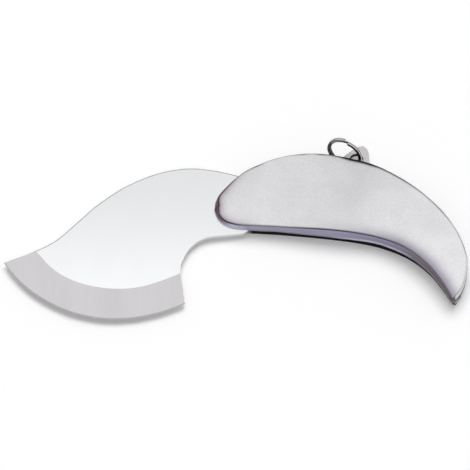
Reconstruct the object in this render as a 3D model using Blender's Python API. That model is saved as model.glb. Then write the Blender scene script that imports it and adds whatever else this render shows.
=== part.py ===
# Small slip-joint folding knife with a crescent handle and a split ring, shown open.
# Metres, +Z up. The knife lies on its back plate, blade to -X, and the origin is the
# point of the back plate's flat face that lies on the table under the grip.

import math

import bmesh
import bpy
import numpy as np
from mathutils import Matrix, Vector

# Plan sizes. The outlines of blade and handle are shares of the pivot to tip length,
# because the handle closes over the folded blade.
pivotToTip = 0.0661
originFromPivot = 0.022

# Layers, from the table up.
backPlateThickness = 0.0011
bladeThickness = 0.0013
linerThickness = 0.0009
layerGap = 0.0002
backPlateInset = 0.0007
backPlateChamfer = 0.00015

# Front cover.
coverEdgeHeight = 0.00325
coverCrown = 0.0006
spineFillet = 0.0012
bellyFillet = 0.0004
coverWall = 0.0012
coverRoof = 0.0011
bossWall = 0.0008

# Blade and tang.
foldDegrees = 146.5
lowerFlatDegrees = -83.6
tangFlatDistance = 0.0053
detentDepth = 0.00028
seatGap = 0.0003
edgeThickness = 0.00012
edgeClearance = 0.0006

# Pivot and fasteners.
fitGap = 0.00012
pivotShankRadius = 0.001
barrelWall = 0.00058
barrelRadius = pivotShankRadius + fitGap + barrelWall
pivotHeadRadius = 0.002
screwShankRadius = 0.0007
screwHeadRadius = 0.0014
screwHeadHeight = 0.0008
screwBite = 0.0013
driveSocketDepth = 0.0005
driveSocketShare = 0.45
pillarRadius = 0.001
tailPinRadius = 0.0005
springPinRadius = 0.0006
pinSeatDepth = 0.0006

# Back spring and spine plate.
springThickness = 0.002
springTipSetback = 0.001
spineInset = 0.00035

# Lug and split ring.
lugHoleRadius = 0.00185
lugHoleStretch = 0.0014
lugHoleDegrees = 62.3
ringOuterRadius = 0.00535
ringWireWidth = 0.0008
ringWireHeight = 0.00042
ringTurnGap = 0.00042
ringSeatSlack = 0.000237
ringSeatDegrees = 50.11
ringPlanDegrees = -22.36
ringLeanDegrees = 10.31
ringStartDegrees = 116.76
ringTurns = 1.9

# Counts and the overrun that every cut shares.
handleSteps = 6
curveSteps = 4
arcSteps = 12
roundSegments = 40
ringSegments = 44
coverStations = 64
coverLanes = 16
pocketStations = 30
outlineStations = 70
cutOverrun = 0.001

# Heights of the layers.
midLow = backPlateThickness + layerGap
midHigh = midLow + bladeThickness
linerLow = midHigh + layerGap
linerHigh = linerLow + linerThickness
coverLow = linerHigh + layerGap

# Handle outline from the nose round the spine to the hook, then back along the belly.
handleSpineShares = [
    (-0.0825, 0.031), (-0.069, 0.082), (-0.040, 0.120), (0.002, 0.165), (0.050, 0.2045),
    (0.102, 0.2315), (0.170, 0.261), (0.252, 0.280), (0.328, 0.285), (0.405, 0.277),
    (0.493, 0.256), (0.582, 0.228), (0.684, 0.173), (0.786, 0.097), (0.887, -0.010),
    (0.950, -0.112), (0.983, -0.208), (0.989, -0.265), (0.981, -0.325), (0.962, -0.382),
    (0.930, -0.430)]
handleBellyShares = [
    (-0.0825, 0.022), (-0.067, -0.0105), (-0.044, -0.036), (-0.022, -0.050), (0.010, -0.060),
    (0.057, -0.066), (0.108, -0.069), (0.193, -0.075), (0.277, -0.083), (0.362, -0.092),
    (0.447, -0.103), (0.518, -0.115), (0.593, -0.132), (0.650, -0.152), (0.707, -0.178),
    (0.760, -0.213), (0.802, -0.251), (0.840, -0.294), (0.877, -0.348), (0.912, -0.404),
    (0.922, -0.421)]
coverHeightShares = [
    (0.0, 0.62), (0.12, 0.66), (0.3, 0.74), (0.42, 0.93), (0.5, 1.0), (0.78, 1.0), (0.9, 0.9),
    (1.0, 0.74)]
pocketReachShares = (0.16, 0.86)
insetKeepShare = 0.97

# Blade outline: the back from point to tang, the notch behind the heel, the grind line.
bladeBackShares = [
    (-0.976, -0.215), (-0.942, -0.201), (-0.891, -0.182), (-0.844, -0.161), (-0.790, -0.133),
    (-0.739, -0.095), (-0.688, -0.044), (-0.637, 0.008), (-0.587, 0.059), (-0.485, 0.139),
    (-0.383, 0.195), (-0.281, 0.231), (-0.180, 0.243), (-0.079, 0.231), (0.020, 0.205),
    (0.050, 0.192)]
bladeTaperPoints = 3
notchShares = [
    (-0.060, -0.086), (-0.112, -0.094), (-0.157, -0.116), (-0.195, -0.156), (-0.222, -0.213),
    (-0.228, -0.243), (-0.229, -0.270)]
grindShares = [
    (-0.844, -0.161), (-0.822, -0.186), (-0.785, -0.232), (-0.735, -0.276), (-0.655, -0.317),
    (-0.570, -0.339),
    (-0.486, -0.346), (-0.401, -0.337), (-0.316, -0.309), (-0.229, -0.270)]
heelShare = (-0.210, -0.422)
edgeCentreShare = (-0.498, 0.066)

# Spring, spine plate and lug, in the folded blade's free space.
springRootShares = [
    (0.205, 0.028), (0.242, 0.036), (0.284, 0.062), (0.309, 0.095), (0.330, 0.131),
    (0.352, 0.172), (0.280, 0.178), (0.264, 0.150), (0.268, 0.118), (0.252, 0.086),
    (0.228, 0.065), (0.200, 0.057)]
springUnderShare = (0.160, 0.025)
springOverShare = (0.168, 0.055)
springPinShares = [(0.292, 0.122), (0.319, 0.158)]
plateFrontShares = [
    (0.062, 0.140), (0.125, 0.120), (0.185, 0.130), (0.238, 0.172), (0.275, 0.193)]
plateHeelShares = [(0.362, 0.193), (0.377, 0.206), (0.395, 0.246)]
plateEndShare = 0.578
plateTangShare = 0.7
lugShares = [
    (0.427, 0.265), (0.467, 0.304), (0.499, 0.331), (0.526, 0.348), (0.548, 0.351),
    (0.563, 0.337), (0.570, 0.316), (0.572, 0.281), (0.573, 0.227)]
lugHoleShare = (0.508, 0.267)

# Fastener places in the same shares: the front and middle cover screws, the tail pin.
screwShares = [(0.146, 0.196), (0.330, 0.221)]
tailPinShare = (0.9315, -0.392)


def clearScene():
    for item in list(bpy.data.objects):
        bpy.data.objects.remove(item)


def makeMaterial(name, colour, metallic, roughness):
    material = bpy.data.materials.new(name)
    material.use_nodes = True
    shader = material.node_tree.nodes["Principled BSDF"]
    shader.inputs["Base Color"].default_value = (*colour, 1)
    shader.inputs["Metallic"].default_value = metallic
    shader.inputs["Roughness"].default_value = roughness
    return material


def makeObject(name, bm, material=None, cutter=False):
    bmesh.ops.recalc_face_normals(bm, faces=bm.faces)
    mesh = bpy.data.meshes.new(name)
    bm.to_mesh(mesh)
    bm.free()
    item = bpy.data.objects.new(name, mesh)
    item.parent = pivotFrame
    bpy.context.collection.objects.link(item)
    if material:
        mesh.materials.append(material)
    if cutter:
        item.hide_render = True
        item.display_type = "WIRE"
    return item


def shadeRound(item, degrees=35):
    item.data.shade_smooth()
    item.data.set_sharp_from_angle(angle=math.radians(degrees))


def cut(item, cutter):
    boolean = item.modifiers.new(cutter.name, "BOOLEAN")
    boolean.operation = "DIFFERENCE"
    boolean.solver = "EXACT"
    boolean.object = cutter


def plan(share):
    return Vector((share[0] * pivotToTip, share[1] * pivotToTip))


def polar(radius, degrees):
    angle = math.radians(degrees)
    return Vector((radius * math.cos(angle), radius * math.sin(angle)))


def turned(point, degrees):
    angle = math.radians(degrees)
    c, s = math.cos(angle), math.sin(angle)
    return Vector((c * point.x - s * point.y, s * point.x + c * point.y))


def smoothPath(points, stepsPerSpan):
    # Catmull-Rom curve through the points.
    ends = [points[0] * 2 - points[1]] + list(points) + [points[-1] * 2 - points[-2]]
    path = []
    for k in range(1, len(ends) - 2):
        a, b, c, d = ends[k - 1:k + 3]
        for step in range(stepsPerSpan):
            t = step / stepsPerSpan
            path.append(0.5 * (2 * b + (c - a) * t + (2 * a - 5 * b + 4 * c - d) * t ** 2
                               + (3 * b - 3 * c + d - a) * t ** 3))
    path.append(points[-1])
    return path


def evenPath(path, shares):
    # Points of a path at the given shares of its length.
    xy = np.array([(p.x, p.y) for p in path])
    run = np.concatenate([[0], np.cumsum(np.hypot(*np.diff(xy, axis=0).T))])
    at = np.array(shares) * run[-1]
    return [Vector(pair) for pair in zip(np.interp(at, run, xy[:, 0]), np.interp(at, run, xy[:, 1]))]


def distanceTo(path, point):
    a, b = path[:-1], path[1:]
    along = b - a
    reach = point - a
    share = np.clip((reach * along).sum(1) / (along * along).sum(1), 0, 1)
    return np.hypot(*(reach - along * share[:, None]).T).min()


def insetOutline(outline, distance):
    # Closed counter-clockwise outline moved inwards. Points that the narrow hook brings
    # too near the other side are left out.
    closed = np.array([(p.x, p.y) for p in outline + outline[:1]])
    moved = []
    for k, point in enumerate(outline):
        ahead = (outline[(k + 1) % len(outline)] - outline[k - 1]).normalized()
        spot = point + Vector((-ahead.y, ahead.x)) * distance
        if distanceTo(closed, np.array(spot)) > distance * insetKeepShare:
            moved.append(spot)
    return moved


def addPrism(bm, outline, low, high):
    bottom = [bm.verts.new((p.x, p.y, low)) for p in outline]
    top = [bm.verts.new((p.x, p.y, high)) for p in outline]
    bm.faces.new(bottom)
    bm.faces.new(top)
    for k in range(len(outline)):
        bm.faces.new((bottom[k - 1], bottom[k], top[k], top[k - 1]))


def addTurned(bm, centre, profile, segments=roundSegments):
    # Solid of revolution about a vertical axis. The profile is a list of (radius, height).
    rings = []
    for radius, height in profile:
        if radius == 0:
            rings.append([bm.verts.new((centre.x, centre.y, height))])
            continue
        turns = [polar(radius, 360 * k / segments) + centre for k in range(segments)]
        rings.append([bm.verts.new((p.x, p.y, height)) for p in turns])
    for lower, upper in zip(rings, rings[1:]):
        for k in range(segments):
            corners = [lower[k - 1], lower[k % len(lower)]] if len(lower) > 1 else [lower[0]]
            corners += [upper[k % len(upper)], upper[k - 1]] if len(upper) > 1 else [upper[0]]
            bm.faces.new(corners)


def addTube(bm, centre, outer, inner, low, high, segments=roundSegments):
    profile = [(inner, low), (outer, low), (outer, high), (inner, high)]
    rings = []
    for radius, height in profile:
        turns = [polar(radius, 360 * k / segments) + centre for k in range(segments)]
        rings.append([bm.verts.new((p.x, p.y, height)) for p in turns])
    for lower, upper in zip(rings, rings[1:] + rings[:1]):
        for k in range(segments):
            bm.faces.new((lower[k - 1], lower[k], upper[k], upper[k - 1]))


def drill(item, name, holes, low, high):
    # One cutter for a set of round holes, each a (centre, radius).
    bm = bmesh.new()
    for centre, radius in holes:
        addTurned(bm, centre, [(0, low), (radius, low), (radius, high), (0, high)])
    cut(item, makeObject(name, bm, cutter=True))


def handleCurves():
    spine = smoothPath([plan(share) for share in handleSpineShares], handleSteps)
    belly = smoothPath([plan(share) for share in handleBellyShares], handleSteps)
    return spine, belly


def handleOutline():
    # Counter-clockwise: along the belly to the hook, back over the spine to the nose.
    spine, belly = handleCurves()
    stations = [k / outlineStations for k in range(outlineStations + 1)]
    return evenPath(belly, stations) + evenPath(spine, stations)[::-1]


def filletDrop(distance, radius):
    if distance >= radius:
        return 0.0
    return radius - math.sqrt(radius ** 2 - (radius - distance) ** 2)


def coverHeight(station):
    shares = np.array(coverHeightShares)
    return coverEdgeHeight * float(np.interp(station, shares[:, 0], shares[:, 1]))


def addCrescent(bm, stations, wall, low, topOf):
    # Solid over a stretch of the handle's plan. Its top follows topOf(station, lane, point).
    spine, belly = handleCurves()
    spinePoints = evenPath(spine, stations)
    bellyPoints = evenPath(belly, stations)
    lanes = [(1 - math.cos(math.pi * k / coverLanes)) / 2 for k in range(coverLanes + 1)]
    top, bottom = [], []
    for station, a, b in zip(stations, spinePoints, bellyPoints):
        across = (b - a).normalized()
        a, b = a + across * wall, b - across * wall
        row = [(a.lerp(b, lane), lane) for lane in lanes]
        top.append([bm.verts.new((p.x, p.y, topOf(station, lane, p))) for p, lane in row])
        bottom.append([bm.verts.new((p.x, p.y, low)) for p, lane in row])
    for grid in (top, bottom):
        for first, second in zip(grid, grid[1:]):
            for k in range(coverLanes):
                bm.faces.new((first[k], first[k + 1], second[k + 1], second[k]))
    for k in range(len(stations) - 1):
        for lane in (0, coverLanes):
            bm.faces.new((top[k][lane], top[k + 1][lane], bottom[k + 1][lane], bottom[k][lane]))
    for row in (0, -1):
        for k in range(coverLanes):
            bm.faces.new((top[row][k], top[row][k + 1], bottom[row][k + 1], bottom[row][k]))


def makeCover(material):
    spine, belly = [np.array([(p.x, p.y) for p in path]) for path in handleCurves()]

    def faceHeight(station, lane, point):
        spot = np.array((point.x, point.y))
        drop = filletDrop(distanceTo(spine, spot), spineFillet)
        drop += filletDrop(distanceTo(belly, spot), bellyFillet)
        crown = coverCrown * math.sin(math.pi * lane) * math.sin(math.pi * station) ** 0.5
        return coverLow + coverHeight(station) + crown - drop

    stations = [(1 - math.cos(math.pi * k / coverStations)) / 2 for k in range(coverStations + 1)]
    bm = bmesh.new()
    addCrescent(bm, stations, 0, coverLow, faceHeight)
    cover = makeObject("front_cover", bm, material)
    shadeRound(cover)

    # The cast cover is hollow below, between the pivot boss and the solid hook.
    def roofHeight(station, lane, point):
        return coverLow + coverHeight(station) - coverRoof

    first, last = pocketReachShares
    reach = [first + (last - first) * k / pocketStations for k in range(pocketStations + 1)]
    bm = bmesh.new()
    addCrescent(bm, reach, coverWall, coverLow - cutOverrun, roofHeight)
    pocket = makeObject("cover_pocket_cutter", bm, cutter=True)
    bm = bmesh.new()
    for share in screwShares:
        radius = screwShankRadius + fitGap + bossWall
        low, high = coverLow - 2 * cutOverrun, coverLow + coverEdgeHeight
        addTurned(bm, plan(share), [(0, low), (radius, low), (radius, high), (0, high)])
    cut(pocket, makeObject("cover_boss_cutter", bm, cutter=True))
    cut(cover, pocket)

    pilots = [(plan(share), screwShankRadius + fitGap) for share in screwShares]
    pilots.append((plan(tailPinShare), tailPinRadius + fitGap))
    pilots.append((Vector((0, 0)), pivotShankRadius + fitGap))
    drill(cover, "cover_pilot_cutter", pilots, coverLow - cutOverrun, coverLow + screwBite + fitGap)
    return cover


def makeLiner(material):
    bm = bmesh.new()
    addPrism(bm, handleOutline(), linerLow, linerHigh)
    liner = makeObject("front_liner", bm, material)
    holes = [(plan(share), screwShankRadius + fitGap) for share in screwShares]
    holes += [(plan(share), springPinRadius + fitGap) for share in springPinShares]
    holes.append((plan(tailPinShare), tailPinRadius + fitGap))
    holes.append((Vector((0, 0)), barrelRadius + fitGap))
    drill(liner, "liner_hole_cutter", holes, linerLow - cutOverrun, linerHigh + cutOverrun)
    return liner


def countersink(headRadius, shankRadius, grow):
    # Profile of a countersunk screw from the table up to the top of its head's cone.
    rim = screwHeadHeight / 3 + 2 * grow
    return [(headRadius + grow, rim), (shankRadius + grow, screwHeadHeight + 2 * grow)]


def makeBackPlate(material):
    bm = bmesh.new()
    addPrism(bm, insetOutline(handleOutline(), backPlateInset), 0, backPlateThickness)
    plate = makeObject("back_plate", bm, material)
    bevel = plate.modifiers.new("edge", "BEVEL")
    bevel.width = backPlateChamfer
    bevel.limit_method = "ANGLE"
    bevel.angle_limit = math.radians(60)
    places = [(plan(share), screwHeadRadius, screwShankRadius) for share in screwShares]
    places.append((Vector((0, 0)), pivotHeadRadius, pivotShankRadius))
    bm = bmesh.new()
    for centre, headRadius, shankRadius in places:
        rim, neck = countersink(headRadius, shankRadius, fitGap)
        top = backPlateThickness + cutOverrun
        addTurned(bm, centre, [(0, -cutOverrun), (rim[0], -cutOverrun), rim, neck,
                               (neck[0], top), (0, top)])
    cut(plate, makeObject("back_plate_sink_cutter", bm, cutter=True))
    pins = [(plan(share), springPinRadius + fitGap) for share in springPinShares]
    drill(plate, "back_plate_pin_cutter", pins, backPlateThickness - pinSeatDepth - fitGap,
          backPlateThickness + cutOverrun)
    tail = [(plan(tailPinShare), tailPinRadius + fitGap)]
    drill(plate, "back_plate_tail_cutter", tail, -cutOverrun, backPlateThickness + cutOverrun)
    return plate


def tangPoints():
    # The tang's stop step, its open flat, the round cam and its closed flat.
    openNormal = lowerFlatDegrees + foldDegrees
    camRadius = tangFlatDistance + detentDepth
    flatHalf = math.degrees(math.acos(tangFlatDistance / camRadius))
    foot = polar(tangFlatDistance, openNormal)
    alongFlat = polar(1, openNormal - 90)
    inner = foot - alongFlat * springTipSetback
    step = inner + polar(springThickness + seatGap, openNormal)
    first, last = openNormal - flatHalf, lowerFlatDegrees + flatHalf
    cam = [polar(camRadius, first + (last - first) * k / arcSteps) for k in range(arcSteps + 1)]
    return [step, inner] + cam


def edgeArc(count):
    # The cutting edge is one circle, from the heel corner to the point.
    centre, heel, tip = plan(edgeCentreShare), plan(heelShare), plan(bladeBackShares[0])
    a = math.atan2(heel.y - centre.y, heel.x - centre.x)
    b = math.atan2(tip.y - centre.y, tip.x - centre.x) - 2 * math.pi
    if b < a - math.pi:
        b += 2 * math.pi
    radii = ((heel - centre).length, (tip - centre).length)
    points = []
    for k in range(count + 1):
        t = k / count
        radius = radii[0] + (radii[1] - radii[0]) * t
        points.append(centre + polar(radius, math.degrees(a + (b - a) * t)))
    return points


def makeBlade(material):
    # The top half is a flat and one plain bevel. The lower half mirrors it.
    back = smoothPath([plan(share) for share in bladeBackShares], curveSteps)
    taper, back = back[:bladeTaperPoints * curveSteps], back[bladeTaperPoints * curveSteps:]
    grind = smoothPath([plan(share) for share in grindShares], curveSteps)
    notch = smoothPath([plan(share) for share in notchShares], curveSteps)
    middle = (midLow + midHigh) / 2
    half = bladeThickness / 2
    upperCount = len(taper) + len(grind) - 1
    edge = edgeArc(upperCount)[::-1]

    bm = bmesh.new()
    mirrored = {}

    def corner(point, rise):
        top = bm.verts.new((point.x, point.y, middle + rise))
        mirrored[top] = bm.verts.new((point.x, point.y, middle - rise))
        return top

    slim = edgeThickness / 2
    tipCorners = [corner(p, slim + (half - slim) * k / len(taper)) for k, p in enumerate(taper)]
    grindCorners = [corner(p, half) for p in grind]
    backCorners = [corner(p, half) for p in back[1:]]
    tangCorners = [corner(p, half) for p in tangPoints()]
    notchCorners = [corner(p, half) for p in notch[:-1]]
    edgeCorners = [corner(p, slim) for p in edge[1:]]

    upper = tipCorners + grindCorners
    lower = [tipCorners[0]] + edgeCorners
    flat = [grindCorners[0]] + backCorners + tangCorners + notchCorners + grindCorners[:0:-1]
    faces = [flat]
    for k in range(len(upper) - 1):
        quad = [upper[k], upper[k + 1], lower[k + 1], lower[k]]
        faces.append(quad[:3] if k == 0 else quad)
    boundary = tipCorners + [grindCorners[0]] + backCorners + tangCorners + notchCorners
    boundary += [grindCorners[-1]] + edgeCorners[::-1]
    for face in faces:
        bm.faces.new(face)
        bm.faces.new([mirrored[v] for v in face])
    for a, b in zip(boundary, boundary[1:] + boundary[:1]):
        bm.faces.new((a, b, mirrored[b], mirrored[a]))
    bmesh.ops.triangulate(bm, faces=[f for f in bm.faces if len(f.verts) > 4])
    blade = makeObject("blade", bm, material)
    hole = [(Vector((0, 0)), barrelRadius + fitGap)]
    drill(blade, "blade_pivot_cutter", hole, midLow - cutOverrun, midHigh + cutOverrun)
    return blade


def makeSpring(material):
    # The arm's tip lies on the tang's open flat and its end faces the tang's step.
    openNormal = lowerFlatDegrees + foldDegrees
    outward = polar(1, openNormal)
    along = polar(1, openNormal - 90)
    underTip = outward * (tangFlatDistance + seatGap) - along * (springTipSetback - seatGap)
    overTip = underTip + outward * springThickness
    root = [plan(share) for share in springRootShares]
    half = len(root) // 2
    under = smoothPath([underTip, plan(springUnderShare)] + root[:half], curveSteps)
    over = smoothPath(root[half:] + [plan(springOverShare), overTip], curveSteps)
    bm = bmesh.new()
    addPrism(bm, under + over, midLow, midHigh)
    spring = makeObject("back_spring", bm, material)
    pins = [(plan(share), springPinRadius + fitGap) for share in springPinShares]
    drill(spring, "spring_pin_hole_cutter", pins, midLow - cutOverrun, midHigh + cutOverrun)
    return spring


def capsule(centre, direction, stretch, radius, segments=roundSegments):
    points = []
    for k in range(segments):
        degrees = 360 * k / segments
        turn = polar(radius, degrees)
        points.append(centre + turn + direction * (stretch if turn.dot(direction) > 0 else 0))
    return points


def makeSpinePlate(material):
    # Along the spine it fills the mid layer between the tang and the lug, inside the
    # outline, and its inner side clears the folded cutting edge.
    spine = smoothPath([plan(share) for share in handleSpineShares], handleSteps)
    tangBack = plan(bladeBackShares[-1])
    step = tangPoints()[0]
    end = plateEndShare * pivotToTip
    front = tangBack.x + seatGap
    outer = [p for p in spine if front < p.x < end]
    outerEdge = []
    for k, point in enumerate(outer):
        ahead = (outer[min(k + 1, len(outer) - 1)] - outer[max(k - 1, 0)]).normalized()
        outerEdge.append(point + Vector((ahead.y, -ahead.x)) * spineInset)
    foldedCentre = turned(plan(edgeCentreShare), foldDegrees)
    reach = (plan(heelShare) - plan(edgeCentreShare)).length + edgeClearance
    heel = [plan(share) for share in plateHeelShares]
    arc = []
    for k in range(arcSteps + 1):
        x = end + (heel[-1].x - end) * k / arcSteps
        arc.append(Vector((x, foldedCentre.y + math.sqrt(reach ** 2 - (x - foldedCentre.x) ** 2))))
    lug = smoothPath([plan(share) for share in lugShares], curveSteps)
    lugSpan = (lug[0].x, lug[-1].x)
    beforeLug = [p for p in outerEdge if p.x < lugSpan[0]]
    afterLug = [p for p in outerEdge if p.x > lugSpan[1]]
    sideShift = Vector((seatGap, 0))
    tangSide = [tangBack + sideShift, tangBack.lerp(step, plateTangShare) + sideShift]
    outline = tangSide[:1] + beforeLug + lug + afterLug + arc[:-1] + heel[::-1]
    outline += [plan(share) for share in plateFrontShares[::-1]] + tangSide[1:]
    bm = bmesh.new()
    addPrism(bm, outline, midLow, midHigh)
    plate = makeObject("spine_plate", bm, material)
    holes = [(plan(share), screwShankRadius + fitGap) for share in screwShares]
    drill(plate, "spine_plate_hole_cutter", holes, midLow - cutOverrun, midHigh + cutOverrun)
    bm = bmesh.new()
    outwards = polar(1, lugHoleDegrees)
    hole = capsule(plan(lugHoleShare), outwards, lugHoleStretch, lugHoleRadius)
    addPrism(bm, hole, midLow - cutOverrun, midHigh + cutOverrun)
    cut(plate, makeObject("lug_hole_cutter", bm, cutter=True))
    return plate


def makeScrew(name, centre, headRadius, shankRadius, high, material):
    # Countersunk screw driven from the back, its head just below the plate's face.
    rim, neck = countersink(headRadius, shankRadius, 0)
    face = fitGap
    chamfer = fitGap
    bm = bmesh.new()
    addTurned(bm, centre, [(0, face), (rim[0], face), (rim[0], rim[1] + face),
                           (neck[0], neck[1] + face), (neck[0], high - chamfer),
                           (neck[0] - chamfer, high), (0, high)])
    screw = makeObject(name, bm, material)
    shadeRound(screw)
    socketRadius = headRadius * driveSocketShare
    bm = bmesh.new()
    addTurned(bm, centre, [(0, -cutOverrun), (socketRadius, -cutOverrun),
                           (socketRadius, face + driveSocketDepth), (0, face + driveSocketDepth)], 6)
    cut(screw, makeObject(name + "_socket_cutter", bm, cutter=True))
    return screw


def makeFasteners(material):
    for name, share in zip(("front", "middle"), screwShares):
        makeScrew("cover_screw_" + name, plan(share), screwHeadRadius, screwShankRadius,
                  coverLow + screwBite, material)
    makeScrew("pivot_screw", Vector((0, 0)), pivotHeadRadius, pivotShankRadius,
              coverLow + screwBite, material)
    bm = bmesh.new()
    addTube(bm, Vector((0, 0)), barrelRadius, pivotShankRadius + fitGap,
            backPlateThickness + layerGap / 2, coverLow - layerGap / 2)
    shadeRound(makeObject("pivot_barrel", bm, material))
    bm = bmesh.new()
    addTube(bm, plan(tailPinShare), pillarRadius, tailPinRadius + fitGap, midLow, midHigh)
    shadeRound(makeObject("tail_pillar", bm, material))
    bm = bmesh.new()
    top = coverLow + screwBite
    addTurned(bm, plan(tailPinShare), [(0, fitGap), (tailPinRadius, fitGap),
                                       (tailPinRadius, top), (0, top)])
    shadeRound(makeObject("tail_pin", bm, material))
    for name, share in zip(("front", "rear"), springPinShares):
        low = backPlateThickness - pinSeatDepth
        bm = bmesh.new()
        addTurned(bm, plan(share), [(0, low), (springPinRadius, low),
                                    (springPinRadius, linerHigh), (0, linerHigh)])
        shadeRound(makeObject("spring_pin_" + name, bm, material))


def makeRing(material):
    # Split ring: one flat wire wound almost twice round, through the lug's hole. It stands on
    # the table beside the spine, and its lowest wire passes below the lug.
    along = polar(1, ringPlanDegrees).to_3d()
    outward = polar(1, ringPlanDegrees + 90).to_3d()
    lean = math.radians(ringLeanDegrees)
    rise = Vector((0, 0, math.cos(lean))) + outward * math.sin(lean)
    axis = along.cross(rise)
    lugMiddle = plan(lugHoleShare).to_3d() + Vector((0, 0, (midLow + midHigh) / 2))
    wireRadius = ringOuterRadius - ringWireWidth / 2
    toCentre = polar(wireRadius - ringSeatSlack, ringSeatDegrees)
    centre = lugMiddle - along * toCentre.x + rise * toCentre.y
    pitch = ringWireHeight + ringTurnGap
    steps = int(round(ringTurns * ringSegments))
    start = math.radians(ringStartDegrees)
    bm = bmesh.new()
    rings = []
    middles = []
    for k in range(steps + 1):
        turn = ringTurns * k / steps
        angle = start + 2 * math.pi * turn
        spoke = along * math.cos(angle) + rise * math.sin(angle)
        lift = pitch * (turn - ringTurns / 2)
        middles.append(centre + spoke * wireRadius + axis * lift)
        halfWidth, halfHeight = ringWireWidth / 2, ringWireHeight / 2
        bevel = halfHeight / 2
        section = [(-halfWidth, -halfHeight + bevel), (-halfWidth + bevel, -halfHeight),
                   (halfWidth - bevel, -halfHeight), (halfWidth, -halfHeight + bevel),
                   (halfWidth, halfHeight - bevel), (halfWidth - bevel, halfHeight),
                   (-halfWidth + bevel, halfHeight), (-halfWidth, halfHeight - bevel)]
        rings.append([bm.verts.new(middles[-1] + spoke * w + axis * h) for w, h in section])
    for first, second in zip(rings, rings[1:]):
        for k in range(len(first)):
            bm.faces.new((first[k - 1], first[k], second[k], second[k - 1]))
    bm.faces.new(rings[0])
    bm.faces.new(rings[-1])
    ring = makeObject("split_ring", bm, material)
    shadeRound(ring, 60)
    spot = plan(lugHoleShare).to_3d()
    ring.data.transform(Matrix.Translation(-spot))
    ring.location = spot
    pairs = zip(middles, middles[ringSegments:])
    apart = min((upper - lower).length for lower, upper in pairs)
    print("split ring: gap between its turns %.2f mm" % ((apart - ringWireHeight) * 1000))
    return ring


clearScene()
pivotFrame = bpy.data.objects.new("pivot_frame", None)
pivotFrame.location = (-originFromPivot, 0, 0)
bpy.context.collection.objects.link(pivotFrame)
bpy.context.view_layer.update()

castGrey = makeMaterial("cast_cover", (0.62, 0.62, 0.63), 0.35, 0.55)
plateSteel = makeMaterial("plate_steel", (0.55, 0.55, 0.57), 0.9, 0.4)
bladeSteel = makeMaterial("blade_steel", (0.78, 0.78, 0.79), 0.9, 0.28)
springSteel = makeMaterial("spring_steel", (0.5, 0.5, 0.52), 0.9, 0.35)
fastenerSteel = makeMaterial("fastener_steel", (0.45, 0.45, 0.47), 0.9, 0.35)
ringSteel = makeMaterial("ring_steel", (0.66, 0.66, 0.68), 0.9, 0.3)

makeCover(castGrey)
makeLiner(plateSteel)
makeBackPlate(plateSteel)
makeSpinePlate(plateSteel)
makeSpring(springSteel)
makeBlade(bladeSteel)
makeFasteners(fastenerSteel)
makeRing(ringSteel)
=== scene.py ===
import math

import bmesh
import bpy
import numpy as np
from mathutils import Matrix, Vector


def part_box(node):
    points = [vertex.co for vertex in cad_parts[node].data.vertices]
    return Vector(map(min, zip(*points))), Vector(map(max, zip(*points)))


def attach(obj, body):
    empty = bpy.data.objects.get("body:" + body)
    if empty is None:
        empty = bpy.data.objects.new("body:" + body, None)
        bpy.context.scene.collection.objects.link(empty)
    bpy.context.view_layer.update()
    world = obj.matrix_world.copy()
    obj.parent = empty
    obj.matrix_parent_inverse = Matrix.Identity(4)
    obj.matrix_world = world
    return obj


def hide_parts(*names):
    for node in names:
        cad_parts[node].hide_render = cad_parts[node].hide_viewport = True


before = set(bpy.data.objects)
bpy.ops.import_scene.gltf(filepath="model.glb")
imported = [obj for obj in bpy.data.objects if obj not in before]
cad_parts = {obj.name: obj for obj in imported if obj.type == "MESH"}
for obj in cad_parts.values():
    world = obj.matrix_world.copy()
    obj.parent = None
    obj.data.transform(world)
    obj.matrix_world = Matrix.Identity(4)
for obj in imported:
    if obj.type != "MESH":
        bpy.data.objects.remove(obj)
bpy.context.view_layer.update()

mm = 0.001
print("frame: %d nodes" % len(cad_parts))

# The photograph's frame. Lengths are in metres here and below, unless a note says mm.
photo = {
    "pixels": 470,
    "pixelSize": 0.28 * mm,
    "elevation": 60,
    "centre": (-21.86 * mm, -5.17 * mm, 2 * mm),
    "distance": 6.0,
    "sensor": 36,
}

light = {
    "paper": "F7F7F7",
    "paperRoughness": 0.9,
    "paperHalf": 0.9,
    "paperDrop": 0.02 * mm,
    "paperLift": 0.19,  # only the camera sees this, so that the paper is white and keeps its shadow
    "roomLevel": 0.4,  # what lights dull surfaces
    "shownLevel": 1.0,  # what the camera and polished surfaces see
    "horizonLevel": 0.28,
    "horizonShare": 0.45,
    "keyLevel": 0.47,  # what the key light adds to a level sheet
    "keyElevation": 68,
    "keyTurn": -12,
    "keySpread": 40,
    "cardDistance": 0.3,
    "cardSize": 0.34,
    "cardTop": 0.83,
    "cardBottom": 1.05,
    "cardFade": (-15 * mm, 18.5 * mm),
}

# Nearly all values of a noise texture lie between these.
noiseSpan = {"From Min": 0.3, "From Max": 0.7}


def toLinear(colour):
    # sRGB hex to the linear values that shaders use.
    parts = [int(colour[k:k + 2], 16) / 255 for k in (0, 2, 4)]
    return tuple(p / 12.92 if p <= 0.04045 else ((p + 0.055) / 1.055) ** 2.4 for p in parts) + (1,)


def addNode(tree, kind, inputs=None, **settings):
    # One node with its settings. An input is a value or another node's output.
    node = tree.nodes.new(kind)
    for name, value in settings.items():
        setattr(node, name, value)
    for name, value in (inputs or {}).items():
        if isinstance(value, bpy.types.NodeSocket):
            tree.links.new(value, node.inputs[name])
        else:
            node.inputs[name].default_value = value
    return node


def fillRamp(ramp, stops):
    # Colours of a ramp: (share, sRGB hex).
    elements = ramp.color_ramp.elements
    while len(elements) < len(stops):
        elements.new(1)
    for element, (share, colour) in zip(elements, stops):
        element.position = share
        element.color = toLinear(colour)


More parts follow.
